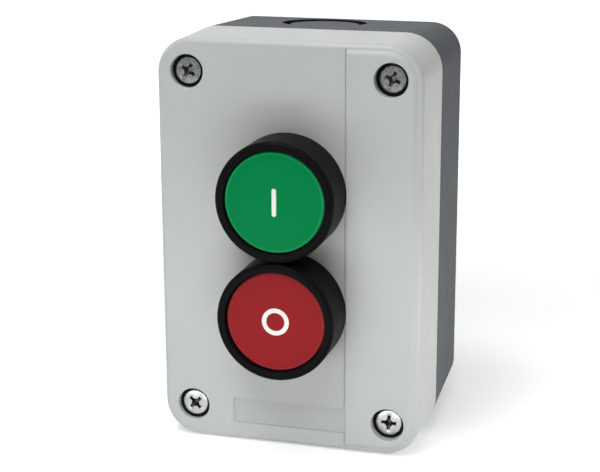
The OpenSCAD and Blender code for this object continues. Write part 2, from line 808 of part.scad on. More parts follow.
// Moving contact: a strip through the window, with two tips above (side = 1) or below (side = -1)
module contact_bridge(y, z, side) {
    half_w = window_half - stop_gap;
    color(copper) upright() translate([0, y, z]) {
        block(-bridge_half, bridge_half, -half_w, half_w, 0, strip_t);
        for (sx = [-1, 1]) translate([sx * tip_x, 0, side > 0 ? strip_t : -tip_h])
            cylinder(h = tip_h, r = tip_dia / 2, $fn = small_fn);
    }
}

// Hole of the terminal screw through a fixed strip
module strip_hole() {
    translate([terminal_x, 0, 0])
        rod(terminal_dia / 2 + fit_gap, strip_z - over, strip_z + strip_t + over, small_fn);
}

// The two fixed strips of the closing block: flat, with the tips on top
module closing_contacts(y) {
    half_w = strip_w / 2;
    out_x = inner_x + hook_d - seat_gap;
    color(copper) upright() translate([0, y, 0]) both_ends() difference() {
        union() {
            block(strip_in_x, out_x, -half_w, half_w, strip_z, strip_z + strip_t);
            translate([tip_x, 0, 0]) rod(tip_dia / 2, strip_z + strip_t - root, start_fixed_z, small_fn);
        }
        strip_hole();
    }
}

// The two fixed strips of the opening block: bent up and over, with the tips underneath
module opening_contacts(y) {
    half_w = strip_w / 2;
    out_x = inner_x - seat_gap;
    top_z = stop_fixed_z + tip_h;
    foot_x = (strip_in_x + rest_out_x + seat_gap) / 2;
    color(copper) upright() translate([0, y, 0]) both_ends() difference() {
        union() {
            block(foot_x, out_x, -half_w, half_w, strip_z, strip_z + strip_t);
            block(out_x - strip_t, out_x, -half_w, half_w, strip_z, top_z + strip_t);
            block(strip_in_x, out_x, -half_w, half_w, top_z, top_z + strip_t);
            translate([tip_x, 0, 0]) rod(tip_dia / 2, stop_fixed_z, top_z + root, small_fn);
        }
        strip_hole();
    }
}

module terminal_screws(y) {
    head_r = terminal_head_dia / 2;
    slot_d = terminal_head_h / 2;
    end_z = strip_z + strip_t + terminal_past;
    color(zinc) upright() translate([0, y, 0]) for (sx = [-1, 1]) translate([sx * terminal_x, 0, 0]) {
        difference() {
            rod(head_r, terminal_low_z, clamp_low_z, small_fn);
            block(-head_r - over, head_r + over, -slot_w / 2, slot_w / 2,
                  terminal_low_z - over, terminal_low_z + slot_d);
        }
        rod(terminal_dia / 2, clamp_low_z - root, end_z, small_fn);
    }
}

module terminal_clamps(y) {
    top_z = clamp_low_z + clamp_t;
    color(zinc) upright() translate([0, y, 0]) for (sx = [-1, 1]) translate([sx * terminal_x, 0, 0])
        difference() {
            block(-clamp_w / 2, clamp_w / 2, -clamp_l / 2, clamp_l / 2, clamp_low_z, top_z);
            rod(terminal_dia / 2 + fit_gap, clamp_low_z - over, top_z + over, small_fn);
        }
}

// Height along a coil spring at turn t, with one closed turn at each end
function coil_z(t, turns, wire, length) =
    let (closed = wire * closed_turn, free = (length - wire - 2 * closed) / (turns - 2))
    wire / 2 + (t < 1 ? t * closed
              : t > turns - 1 ? closed + (turns - 2) * free + (t - turns + 1) * closed
              : closed + (t - 1) * free);

// Coil spring of round wire from z0 to z1, with so many steps in a turn
module coil_spring(mean_r, wire, turns, z0, z1, steps) {
    last = wire_sides - 1;
    rings = floor(turns * steps);
    ring_points = [for (i = [0:rings], k = [0:last])
        let (t = turns * i / rings, turn = 360 * t, tilt = 360 * k / wire_sides,
             r = mean_r + wire / 2 * cos(tilt),
             z = z0 + coil_z(t, turns, wire, z1 - z0) + wire / 2 * sin(tilt))
        [r * cos(turn), r * sin(turn), z]];
    side_faces = [for (i = [0:rings - 1], k = [0:last])
        let (a = i * wire_sides + k, b = i * wire_sides + (k + 1) % wire_sides)
        [a, a + wire_sides, b + wire_sides, b]];
    first_face = [for (k = [0:last]) k];
    last_face = [for (k = [last:-1:0]) rings * wire_sides + k];
    polyhedron(ring_points, concat(side_faces, [first_face, last_face]), convexity = 10);
}

module return_spring(y) {
    mean_r = spring_bore_r - seat_gap - return_wire / 2;
    color(steel) upright() translate([0, y, 0])
        coil_spring(mean_r, return_wire, return_turns, spring_low_z, web_z, large_coil_steps);
}

module plunger_spring(y) {
    mean_r = spring_room_r - coil_gap - plunger_wire / 2;
    color(steel) upright() translate([0, y, 0])
        coil_spring(mean_r, plunger_wire, plunger_turns, floor_z, cage_seat_z, small_coil_steps);
}

module bridge_spring(y, z0, z1) {
    mean_r = window_half - coil_gap - bridge_wire / 2;
    color(steel) upright() translate([0, y, 0])
        coil_spring(mean_r, bridge_wire, bridge_turns, z0, z1, small_coil_steps);
}

base();
cover();
cover_gasket();
cover_screws();
screw_inserts();

bezel(start_y);  // start_bezel
cap(start_y, green, green_sink);  // start_cap
pusher(start_y);  // start_pusher
clip(start_y);  // start_clip
return_spring(start_y);  // start_return_spring
panel_seal(start_y);  // start_panel_seal
wiper_seal(start_y);  // start_wiper_seal
nut(start_y);  // start_nut
contact_carrier(start_y);  // start_contact_carrier
contact_housing(start_y, true);  // start_contact_housing
contact_lid(start_y);  // start_contact_lid
contact_plunger(start_y, green);  // start_contact_plunger
plunger_spring(start_y);  // start_plunger_spring
contact_bridge(start_y, start_bridge_z, -1);  // start_contact_bridge
bridge_spring(start_y, start_bridge_z + strip_t, window_top_z);  // start_bridge_spring
closing_contacts(start_y);  // start_fixed_contacts
terminal_screws(start_y);  // start_terminal_screws
terminal_clamps(start_y);  // start_terminal_clamps

bezel(stop_y);  // stop_bezel
cap(stop_y, red, red_sink);  // stop_cap
pusher(stop_y);  // stop_pusher
clip(stop_y);  // stop_clip
return_spring(stop_y);  // stop_return_spring
panel_seal(stop_y);  // stop_panel_seal
wiper_seal(stop_y);  // stop_wiper_seal
nut(stop_y);  // stop_nut
contact_carrier(stop_y);  // stop_contact_carrier
contact_housing(stop_y, false);  // stop_contact_housing
contact_lid(stop_y);  // stop_contact_lid
contact_plunger(stop_y, red);  // stop_contact_plunger
plunger_spring(stop_y);  // stop_plunger_spring
contact_bridge(stop_y, stop_bridge_z, 1);  // stop_contact_bridge
bridge_spring(stop_y, window_low_z, stop_bridge_z);  // stop_bridge_spring
opening_contacts(stop_y);  // stop_fixed_contacts
terminal_screws(stop_y);  // stop_terminal_screws
terminal_clamps(stop_y);  // stop_terminal_clamps
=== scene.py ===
import json
import math

import bmesh
import bpy
from mathutils import Matrix, Vector


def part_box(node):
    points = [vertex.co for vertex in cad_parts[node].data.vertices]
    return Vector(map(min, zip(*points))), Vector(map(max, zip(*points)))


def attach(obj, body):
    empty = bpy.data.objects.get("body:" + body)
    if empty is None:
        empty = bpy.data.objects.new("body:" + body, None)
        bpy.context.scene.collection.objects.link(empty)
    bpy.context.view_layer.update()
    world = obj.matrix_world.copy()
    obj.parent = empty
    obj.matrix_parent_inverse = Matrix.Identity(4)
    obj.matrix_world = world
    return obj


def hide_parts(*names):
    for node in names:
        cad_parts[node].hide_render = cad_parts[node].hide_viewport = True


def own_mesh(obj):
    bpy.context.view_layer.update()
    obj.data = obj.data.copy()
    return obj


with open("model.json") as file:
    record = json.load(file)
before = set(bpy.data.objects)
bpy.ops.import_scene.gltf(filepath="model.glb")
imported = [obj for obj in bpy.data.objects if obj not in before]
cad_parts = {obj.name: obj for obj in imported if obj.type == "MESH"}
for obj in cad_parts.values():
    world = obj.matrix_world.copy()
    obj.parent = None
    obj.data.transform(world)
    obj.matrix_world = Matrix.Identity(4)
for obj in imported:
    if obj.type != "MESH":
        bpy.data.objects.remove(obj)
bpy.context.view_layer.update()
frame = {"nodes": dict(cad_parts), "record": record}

MM = 0.001

# Fineness of round shapes
CORNER_STEPS = 20
TURN_STEPS = 128
SMALL_TURN_STEPS = 64
CROSS_TURN_STEPS = 32
COIL_STEPS = 28
WIRE_SIDES = 10
BAR_END_STEPS = 16
EDGE_STEPS = 6
WIDE_EDGE_STEPS = 10
SHELL_EDGE_STEPS = 8
RING_EDGE_STEPS = 5
SMALL_EDGE_STEPS = 4
SHARP_ANGLE = math.radians(32)
SCREW_SHARP_ANGLE = math.radians(40)
FACE_WEIGHT = 80
WELD = 0.0005 * MM

# Places that the frame gives
cover_low, cover_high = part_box("cover")
base_low, base_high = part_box("base")
HALF_W, HALF_H = base_high.x, base_high.z
SEAM_Y = cover_high.y
STRIP_Y = cover_low.y
START_LOW, START_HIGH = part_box("start_bezel")
STOP_LOW, STOP_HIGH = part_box("stop_bezel")
START_Z = (START_LOW.z + START_HIGH.z) / 2
STOP_Z = (STOP_LOW.z + STOP_HIGH.z) / 2
BEZEL_Y = START_LOW.y
BARREL_END_Y = START_HIGH.y
BEZEL_R = (START_HIGH.x - START_LOW.x) / 2

# How far shapes overlap where they join, and how far a cutter's open end stands out
OVER = 0.5 * MM
PAST = 1 * MM

# Sizes of the enclosure
CORNER_R = 9.5 * MM
WALL = 2.4 * MM
PANEL = 2.4 * MM
COVER_DRAFT = 0.4 * MM
BASE_DRAFT = 1.4 * MM
FRONT_EDGE_R = 1.4 * MM
BACK_EDGE_R = 0.6 * MM
RIM_EDGE_R = 0.2 * MM
COVER_FACE_IN = 3 * MM
BASE_FACE_IN = 4 * MM
LIP = 1.15 * MM
SEAT_GAP = 0.1 * MM
STRIP_RISE = 0.7 * MM
FRONT_Y = STRIP_Y + STRIP_RISE
PANEL_BACK_Y = FRONT_Y + PANEL
BASE_RIM_Y = -32 * MM
TONGUE_Y = BASE_RIM_Y - 2 * MM
TONGUE_EDGE_R = 0.15 * MM
GASKET_Y = TONGUE_Y - 1 * MM

# Sizes of the raised strip and the label place
STRIP_BEVEL = 0.9 * MM
STRIP_CREST_R = 1.6 * MM
STRIP_FRAME_W = 0.9 * MM
STRIP_FACE_IN = 2 * MM
STEP_X = BEZEL_R + 0.1 * MM
STEP_EDGE_R = 0.15 * MM
STEP_LINE_W = 0.55 * MM
STEP_LINE_D = 0.3 * MM
STEP_LINE_OVERLAP = 0.02 * MM
LABEL_LEFT = -BEZEL_R
LABEL_LOW_Z = -HALF_H + 5.1 * MM
LABEL_HIGH_Z = -HALF_H + 11.8 * MM
LABEL_SINK = 0.35 * MM
LABEL_CORNER_R = 0.3 * MM
LABEL_EDGE_R = 0.12 * MM

# Sizes of the screws and of the black rings that stand in for the shade round their heads
SCREW_X = HALF_W - 8.3 * MM
SCREW_Z = HALF_H - 8.8 * MM
RECESS_R = 4.25 * MM
RECESS_EDGE_R = 0.35 * MM
HEAD_SEAT_Y = FRONT_Y + 3.8 * MM
HEAD_R = 3.5 * MM
HEAD_H = 2.6 * MM
HEAD_FLAT_R = 2 * MM
HEAD_FLAT_DROP = 0.04 * MM
HEAD_RIM_DROP = 0.22 * MM
HEAD_EDGE_R = 0.45 * MM
HEAD_BACK_R = 0.15 * MM
SHANK_R = 2 * MM
SHANK_HOLE_R = 2.2 * MM
SHANK_END_Y = -24.2 * MM
SHANK_CHAMFER = 0.4 * MM
SCREW_THREAD_D = 0.35 * MM
SCREW_THREAD_L = 13 * MM
SCREW_PITCH = 0.7 * MM
THREAD_START = 1 * MM
CROSS_HALF = 2.05 * MM
CROSS_W = 0.75 * MM
CROSS_D = 1.6 * MM
CROSS_FLARE = 0.12 * MM
CROSS_TAPER = 0.16 * MM
CROSS_END_SLOPE = 0.75
CROSS_CORE_R = 1.05 * MM
CROSS_TIP_R = 0.5 * MM
CROSS_TIP_Y = 0.9 * CROSS_D
RING_IN_R = HEAD_R + 0.04 * MM
RING_OUT_R = RECESS_R - 0.03 * MM
RING_H = 2.3 * MM
RING_EDGE_R = 0.25 * MM
SCREW_TURNS = {(-1, 1): 32, (1, 1): 22, (-1, -1): 45, (1, -1): 3}

# Shares of a thread's pitch at which a crest ends and a root starts and ends
CREST_END = 0.2
ROOT_START = 0.5
ROOT_END = 0.7

# Sizes inside the enclosure and at its back
BOSS_R = 6.5 * MM
POST_R = 4.6 * MM
INSERT_HOLE_R = 2.85 * MM
INSERT_HOLE_Y = -22 * MM
RIB = 1.6 * MM
RIB_TOP_Y = -28 * MM
MOUNT_X = 18 * MM
MOUNT_Z = 38 * MM
MOUNT_R = 2.25 * MM
MOUNT_CHAMFER = 0.25 * MM
COLLAR_R = 4.5 * MM
COLLAR_TOP_Y = -3.6 * MM
COLLAR_EDGE_R = 0.3 * MM

# Sizes of the knockouts
KNOCKOUT_X = -1.5 * MM
KNOCKOUT_Y = -13.2 * MM
GROOVE_OUT_R = 11.25 * MM
GROOVE_IN_R = 9.25 * MM
GROOVE_D = 1.8 * MM
GROOVE_CORNER_R = 0.2 * MM
GROOVE_CHAMFER = 0.15 * MM
DISC_SINK = 0.45 * MM

# Sizes of the buttons
BARREL_R = 11 * MM
BARREL_HOLE_R = 11.15 * MM
BARREL_END_R = 0.4 * MM
BARREL_THREAD_D = 0.6 * MM
BARREL_PITCH = 1.5 * MM
KEY_HALF_W = 1.5 * MM
KEY_H = 0.9 * MM
KEY_GAP = 0.2 * MM
BEZEL_EDGE_R = 1.1 * MM
BEZEL_BACK_R = 0.15 * MM
BEZEL_MOUTH_R = 0.3 * MM
POCKET_R = 12.95 * MM
POCKET_Y = BEZEL_Y + 8.9 * MM
POCKET_CORNER_R = 0.2 * MM
GUIDE_R = 8.75 * MM
LEDGE_Y = BARREL_END_Y - 3 * MM
SPRING_SEAT_Y = LEDGE_Y - 1.5 * MM
LEDGE_HOLE_R = 5.4 * MM
BARREL_END_IN_R = 8.6 * MM
NUT_RING_IN_R = 14.2 * MM
NUT_RING_OUT_R = 15 * MM
NUT_RING_H = 0.8 * MM
SEAL_ROOM_R = 13.4 * MM
SEAL_H = 1 * MM
CAP_R = 12.75 * MM
CAP_EDGE_R = 0.6 * MM
CAP_FACE_IN = 2 * MM
CAP_CORNER_R = 0.2 * MM
CAP_SKIRT_IN_R = 11.55 * MM
CAP_SKIRT_Y = BEZEL_Y + 4.4 * MM
CAP_SKIRT_EDGE_R = 0.1 * MM
CAP_ROOF_Y = CAP_SKIRT_Y - 1.8 * MM
PLUG_R = 7.35 * MM
PLUG_Y = CAP_SKIRT_Y + 0.4 * MM
MARK_HALF = 3.5 * MM
MARK_STROKE = 1.15 * MM
MARK_RISE = 0.08 * MM
MARK_ROOT = 0.1 * MM
MARK_EDGE_R = 0.04 * MM
MARK_FACE_IN = 0.2 * MM

# Travels, and the wire and number of turns of each spring
TRAVEL = 4.3 * MM
BRIDGE_TRAVEL = 2.6 * MM
SPRINGS = {"return": (0.9 * MM, 6), "plunger": (0.4 * MM, 6), "bridge": (0.35 * MM, 5)}
CLOSED_TURN_RISE = 1.02

# Margins for choosing the faces that take a second finish
NEAR = 0.1 * MM
FAR = 0.3 * MM
CROSS_SHADE_Y = 0.14 * MM


# Helpers that make and join meshes

def new_piece(name, bm):
    """Turns a bmesh into an object at the origin."""
    mesh = bpy.data.meshes.new(name)
    bm.to_mesh(mesh)
    bm.free()
    piece = bpy.data.objects.new(name, mesh)
    bpy.context.scene.collection.objects.link(piece)
    return piece


def fillet(corners, steps=EDGE_STEPS, closed=True):
    """Points of an outline whose corners (a, b, radius) are rounded."""
    points = []
    count = len(corners)
    for i, (a, b, r) in enumerate(corners):
        here = Vector((a, b))
        if r == 0 or (not closed and i in (0, count - 1)):
            points.append((a, b))
            continue
        before = (Vector(corners[i - 1][:2]) - here).normalized()
        after = (Vector(corners[(i + 1) % count][:2]) - here).normalized()
        half = before.angle(after) / 2
        start = here + before * (r / math.tan(half))
        centre = here + (before + after).normalized() * (r / math.sin(half))
        spoke = start - centre
        sweep = math.pi - 2 * half
        if before.x * after.y - before.y * after.x > 0:
            sweep = -sweep
        for k in range(steps + 1):
            turned = Matrix.Rotation(sweep * k / steps, 2) @ spoke
            points.append(tuple(centre + turned))
    return points


def flare(r):
    """Steps outward and up of a rim that is rounded by a radius."""
    angles = [math.radians(90) * k / EDGE_STEPS for k in range(EDGE_STEPS + 1)]
    return [(r - r * math.cos(a), r - r * math.sin(a)) for a in angles]


def box_outline(inset):
    """Round-cornered rectangle that lies an inset inside the box at the seam."""
    r = max(CORNER_R - inset, OVER)
    w, h = HALF_W - inset, HALF_H - inset
    points = []
    for quarter, (sx, sz) in enumerate(((1, 1), (-1, 1), (-1, -1), (1, -1))):
        for i in range(CORNER_STEPS + 1):
            a = math.radians(90) * (quarter + i / CORNER_STEPS)
            points.append((sx * (w - r) + r * math.cos(a), sz * (h - r) + r * math.sin(a)))
    return points


def loft(name, rings):
    """Closed solid through outlines of (x, z) points, each at its own y."""
    bm = bmesh.new()
    loops = [[bm.verts.new((x, y, z)) for x, z in points] for points, y in rings]
    for near, far in zip(loops, loops[1:]):
        for i in range(len(near)):
            j = (i + 1) % len(near)
            bm.faces.new((near[i], near[j], far[j], far[i]))
    bm.faces.new(loops[0])
    bm.faces.new(loops[-1])
    bmesh.ops.recalc_face_normals(bm, faces=bm.faces)
    return new_piece(name, bm)


def box_loft(name, profile):
    """Closed solid whose sides follow a profile of (inset, y) points."""
    return loft(name, [(box_outline(inset), y) for inset, y in profile])


def revolve(name, profile, x=0.0, z=0.0, steps=TURN_STEPS):
    """Closed solid of revolution about a line along y: a closed profile of (radius, y) points."""
    bm = bmesh.new()
    rings = []
    for r, y in profile:
        if r == 0:
            rings.append([bm.verts.new((x, y, z))] * steps)
        else:
            angles = [2 * math.pi * k / steps for k in range(steps)]
            rings.append([bm.verts.new((x + r * math.cos(a), y, z + r * math.sin(a))) for a in angles])
    for i, near in enumerate(rings):
        far = rings[(i + 1) % len(rings)]
        for k in range(steps):
            corners = []
            for v in (near[k], near[(k + 1) % steps], far[(k + 1) % steps], far[k]):
                if v not in corners:
                    corners.append(v)
            if len(corners) > 2:
                bm.faces.new(corners)
    bmesh.ops.recalc_face_normals(bm, faces=bm.faces)
    return new_piece(name, bm)


def rod(name, r, y0, y1, x=0.0, z=0.0):
    return revolve(name, [(0, y0), (r, y0), (r, y1), (0, y1)], x, z, SMALL_TURN_STEPS)


def block(name, x0, x1, y0, y1, z0, z1):
    return loft(name, [([(x0, z0), (x1, z0), (x1, z1), (x0, z1)], y) for y in (y0, y1)])


def thread_corners(r, depth, pitch, y0, y1):
    """Corners of the ridges and grooves of a thread between two places along y."""
    step = math.copysign(pitch, y1 - y0)
    corners = []
    for k in range(int(abs(y1 - y0) / pitch)):
        y = y0 + k * step
        corners += [(r, y, 0), (r, y + CREST_END * step, 0),
                    (r - depth, y + ROOT_START * step, 0), (r - depth, y + ROOT_END * step, 0)]
    return corners


def combine(piece, others, operation):
    """Joins others to a piece or cuts them from it."""
    for other in others:
        step = piece.modifiers.new("combine", "BOOLEAN")
        step.operation = operation
        step.solver = "MANIFOLD"
        step.object = other
    bpy.context.view_layer.update()
    made = piece.evaluated_get(bpy.context.evaluated_depsgraph_get())
    mesh = bpy.data.meshes.new_from_object(made)
    piece.modifiers.clear()
    old, piece.data = piece.data, mesh
    bpy.data.meshes.remove(old)
    mesh.name = piece.name
    for other in others:
        bpy.data.objects.remove(other)
    return piece


def join(piece, *others):
    return combine(piece, others, "UNION")


def cut(piece, *others):
    return combine(piece, others, "DIFFERENCE")


def smooth(piece, angle=SHARP_ANGLE):
    """Smooth faces with sharp edges where the surface turns more than an angle."""
    bm = bmesh.new()
    bm.from_mesh(piece.data)
    bmesh.ops.remove_doubles(bm, verts=bm.verts, dist=WELD)
    bmesh.ops.dissolve_degenerate(bm, edges=bm.edges, dist=WELD)
    for face in bm.faces:
        face.smooth = True
    for edge in bm.edges:
        edge.smooth = edge.calc_face_angle(math.pi) < angle
    bm.to_mesh(piece.data)
    bm.free()
    weighted = piece.modifiers.new("even faces", "WEIGHTED_NORMAL")
    weighted.keep_sharp = True
    weighted.weight = FACE_WEIGHT
    return piece


def corners_of(x, z):
    return [(sx * x, sz * z) for sx in (-1, 1) for sz in (-1, 1)]


def place(piece, body, slot, material, *nodes):
    """Gives a piece its finish, its body and the nodes that it stands for."""
    piece.data.materials.clear()
    piece.data.materials.append(material)
    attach(piece, body)
    if nodes:
        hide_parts(*nodes)
    return piece


def second_finish(piece, material, chosen):
    """Gives the faces whose centre passes a test another finish."""
    piece.data.materials.append(material)
    for face in piece.data.polygons:
        if chosen(face.center):
            face.material_index = 1


# Helpers that make shader nodes

# Most of a noise lies between these two values
NOISE_LOW, NOISE_HIGH = 0.3, 0.7


def noise(tree, coords, size, detail=2.0, roughness=0.5):
    """Noise whose patches measure about a size, read at an object's own coordinates."""
    node = tree.nodes.new("ShaderNodeTexNoise")
    node.inputs["Scale"].default_value = 1 / size
    node.inputs["Detail"].default_value = detail
    node.inputs["Roughness"].default_value = roughness
    tree.links.new(coords.outputs["Object"], node.inputs["Vector"])
    return node.outputs["Fac"]


def map_range(tree, source, from_min, from_max, to_min=0.0, to_max=1.0, kind="LINEAR"):
    """A value carried from one range to another, and held inside it."""
    node = tree.nodes.new("ShaderNodeMapRange")
    node.interpolation_type = kind
    node.inputs["From Min"].default_value = from_min
    node.inputs["From Max"].default_value = from_max
    node.inputs["To Min"].default_value = to_min
    node.inputs["To Max"].default_value = to_max
    tree.links.new(source, node.inputs["Value"])
    return node.outputs["Result"]


def span(tree, fac, low=0.0, high=1.0):
    """A noise spread between two values."""
    return map_range(tree, fac, NOISE_LOW, NOISE_HIGH, low, high)


def math_node(tree, operation, first, second):
    node = tree.nodes.new("ShaderNodeMath")
    node.operation = operation
    tree.links.new(first, node.inputs[0])
    tree.links.new(second, node.inputs[1])
    return node.outputs[0]


def vector_length(tree, vector):
    node = tree.nodes.new("ShaderNodeVectorMath")
    node.operation = "LENGTH"
    tree.links.new(vector, node.inputs[0])
    return node.outputs["Value"]


def blend_colours(tree, factor, first, second):
    """A mix of two colours, each given as a value or as a socket."""
    node = tree.nodes.new("ShaderNodeMix")
    node.data_type = "RGBA"
    tree.links.new(factor, node.inputs["Factor"])
    for name, value in (("A", first), ("B", second)):
        socket = next(s for s in node.inputs if s.name == name and s.type == "RGBA")
        if isinstance(value, bpy.types.NodeSocket):
            tree.links.new(value, socket)
        else:
            socket.default_value = (*value, 1)
    return next(s for s in node.outputs if s.type == "RGBA")


def add_bump(tree, bsdf, height, depth):
    node = tree.nodes.new("ShaderNodeBump")
    node.inputs["Distance"].default_value = depth
    tree.links.new(height, node.inputs["Height"])
    tree.links.new(node.outputs["Normal"], bsdf.inputs["Normal"])


def rim_share(tree, coords, inner, outer):
    """Share that grows from 0 to 1 between two distances from a button's axis."""
    flat = tree.nodes.new("ShaderNodeVectorMath")
    flat.operation = "MULTIPLY"
    flat.inputs[1].default_value = (1, 0, 1)
    tree.links.new(coords.outputs["Object"], flat.inputs[0])
    return map_range(tree, vector_length(tree, flat.outputs["Vector"]), inner, outer)


def shade(colour, share):
    return tuple(c * share for c in colour)


# Materials

TONE_PATCH = 22 * MM
GLOSS_PATCH = 6 * MM
GLOSS_CHANGE = 0.04
# A cap's painted highlight: a paler ring on its face, just inside the rounded edge
HIGHLIGHT_INNER_R = CAP_R - 0.9 * MM
HIGHLIGHT_OUTER_R = CAP_R - 0.5 * MM
SCRATCH = 0.12 * MM
SHINIER, DULLER = 0.06, 0.1

LIGHT_GREY = (0.50, 0.525, 0.50)
DARK_GREY = (0.120, 0.130, 0.138)
BLACK = (0.0045, 0.0045, 0.005)
GREEN = (0.001, 0.215, 0.062)
GREEN_RIM_HIGHLIGHT = (0.012, 0.34, 0.115)
RED = (0.285, 0.017, 0.020)
RED_RIM_HIGHLIGHT = (0.33, 0.035, 0.038)


def start_material(name):
    material = bpy.data.materials.new(name)
    material.use_nodes = True
    tree = material.node_tree
    return material, tree, tree.nodes["Principled BSDF"], tree.nodes.new("ShaderNodeTexCoord")


def moulded(name, colour, rough, grain, grain_depth, spread, specular, rim_highlight_colour=None):
    """Moulded plastic: a fine even grain, slow changes of tone and gloss, and on a cap a painted highlight,
    a paler ring near its edge.
    """
    material, tree, bsdf, coords = start_material(name)
    slow = noise(tree, coords, TONE_PATCH, detail=3)
    fine = noise(tree, coords, grain, detail=3, roughness=0.6)
    light = shade(colour, 1 + spread)
    tone = blend_colours(tree, span(tree, slow), shade(colour, 1 - spread), light)
    tone = blend_colours(tree, span(tree, fine), tone, light)
    # Painted highlight: a paler ring near the cap's edge
    if rim_highlight_colour:
        tone = blend_colours(tree, rim_share(tree, coords, HIGHLIGHT_INNER_R, HIGHLIGHT_OUTER_R), tone, rim_highlight_colour)
    tree.links.new(tone, bsdf.inputs["Base Color"])
    patchy = noise(tree, coords, GLOSS_PATCH, detail=4)
    tree.links.new(span(tree, patchy, rough - GLOSS_CHANGE, rough + GLOSS_CHANGE), bsdf.inputs["Roughness"])
    bsdf.inputs["Specular IOR Level"].default_value = specular
    add_bump(tree, bsdf, fine, grain_depth)
    return material


def metal(name, colour, rough, dull, patch, scratch_depth):
    """Plated or drawn metal: blotches of duller plating and fine scratches."""
    material, tree, bsdf, coords = start_material(name)
    blotch = noise(tree, coords, patch, detail=4, roughness=0.65)
    fine = noise(tree, coords, SCRATCH, roughness=0.7)
    tree.links.new(blend_colours(tree, span(tree, blotch), colour, dull), bsdf.inputs["Base Color"])
    tree.links.new(span(tree, blotch, rough - SHINIER, rough + DULLER), bsdf.inputs["Roughness"])
    bsdf.inputs["Metallic"].default_value = 1.0
    add_bump(tree, bsdf, fine, scratch_depth)
    return material


# Colour, roughness, size and depth of the grain, spread of tone, specular level, colour of the painted rim
# highlight
PLASTICS = {
    "cover_plastic": (LIGHT_GREY, 0.35, 0.30 * MM, 0.010 * MM, 0.03, 0.3),
    "base_plastic": (DARK_GREY, 0.55, 0.35 * MM, 0.018 * MM, 0.03, 0.015),
    "black_plastic": (BLACK, 0.36, 0.20 * MM, 0.005 * MM, 0.03, 0.025),
    "green_plastic": (GREEN, 0.38, 0.25 * MM, 0.002 * MM, 0.03, 0.03, GREEN_RIM_HIGHLIGHT),
    "red_plastic": (RED, 0.38, 0.25 * MM, 0.002 * MM, 0.03, 0.03, RED_RIM_HIGHLIGHT),
    "white_plastic": ((0.75, 0.75, 0.72), 0.40, 0.25 * MM, 0.003 * MM, 0.03, 0.5),
    "grey_plastic": ((0.11, 0.12, 0.13), 0.45, 0.25 * MM, 0.005 * MM, 0.03, 0.5),
    "rubber": ((0.02, 0.02, 0.021), 0.75, 0.15 * MM, 0.012 * MM, 0.1, 0.25),
    "label_floor": (shade(LIGHT_GREY, 0.93), 0.5, 0.20 * MM, 0.003 * MM, 0.03, 0.3),
    # Painted shade: the knockout groove's faces take a much darker grey that stands in for the shade in the
    # deep groove
    "painted_groove_shade": (shade(DARK_GREY, 0.12), 0.7, 0.30 * MM, 0.004 * MM, 0.03, 0.02),
    # Painted shade: near-black finish of the rings in the gaps round the screw heads
    "gap_painted_shade": ((0.006, 0.006, 0.0065), 0.6, 0.15 * MM, 0.004 * MM, 0.03, 0.05),
    "printed_white": ((0.80, 0.80, 0.76), 0.42, 0.20 * MM, 0.002 * MM, 0.02, 0.5),
}

# Colour, roughness, colour of the dull blotches, their size, depth of the scratches
METALS = {
    "zinc_steel": ((0.56, 0.57, 0.56), 0.28, (0.30, 0.30, 0.29), 1.0 * MM, 0.003 * MM),
    "spring_steel": ((0.50, 0.51, 0.53), 0.22, (0.35, 0.35, 0.36), 0.8 * MM, 0.002 * MM),
    "brass": ((0.78, 0.58, 0.25), 0.25, (0.55, 0.38, 0.15), 1.0 * MM, 0.002 * MM),
    "contact_alloy": ((0.80, 0.47, 0.30), 0.28, (0.60, 0.33, 0.20), 1.2 * MM, 0.002 * MM),
    # Painted shade: a darker copy of zinc_steel for the upper two screws, which are the same screws as the
    # lower two
    "upper_zinc_painted_shade": ((0.23, 0.24, 0.23), 0.28, (0.08, 0.08, 0.076), 0.8 * MM, 0.004 * MM),
    # Painted shade: the screws' cross recesses take a much darker copy of the screw metal
    "recess_painted_shade": ((0.11, 0.11, 0.105), 0.45, (0.05, 0.05, 0.048), 0.5 * MM, 0.002 * MM),
    "upper_recess_painted_shade": ((0.20, 0.20, 0.19), 0.40, (0.07, 0.07, 0.066), 0.5 * MM, 0.002 * MM),
}

finish = {name: moulded(name, *look) for name, look in PLASTICS.items()}
finish.update((name, metal(name, *look)) for name, look in METALS.items())


# The cover

def screw_cutter(x, z, surface_y):
    """Stepped hole of a cover screw, with a rounded rim at the surface."""
    profile = [(0, SEAM_Y + OVER), (SHANK_HOLE_R, SEAM_Y + OVER), (SHANK_HOLE_R, HEAD_SEAT_Y),
               (RECESS_R, HEAD_SEAT_Y)]
    profile += [(RECESS_R + out, surface_y + up) for out, up in flare(RECESS_EDGE_R)]
    profile += [(RECESS_R + RECESS_EDGE_R, surface_y - PAST), (0, surface_y - PAST)]
    return revolve("screw_cutter", profile, x, z, SMALL_TURN_STEPS)


def label_outline(grow):
    """The label place grown to the left, up and down; its right end stays on the step."""
    left, low, high = LABEL_LEFT - grow, LABEL_LOW_Z - grow, LABEL_HIGH_Z + grow
    r = LABEL_CORNER_R + grow
    return fillet([(STEP_X, low, 0), (STEP_X, high, 0), (left, high, r), (left, low, r)])


def label_cutter():
    """Shallow place for a label, with a rounded rim."""
    rings = [(label_outline(0), FRONT_Y + LABEL_SINK)]
    rings += [(label_outline(out), FRONT_Y + up) for out, up in flare(LABEL_EDGE_R)]
    rings.append((label_outline(LABEL_EDGE_R), FRONT_Y - PAST))
    return loft("label_cutter", rings)


def step_line_cutter():
    """Thin line at the foot of the strip's step, from one end of the flat front to the other."""
    half_h = HALF_H - COVER_DRAFT - FRONT_EDGE_R
    return block("step_line", STEP_X - STEP_LINE_W, STEP_X + STEP_LINE_OVERLAP,
                 FRONT_Y + STEP_LINE_D, FRONT_Y - PAST, -half_h, half_h)


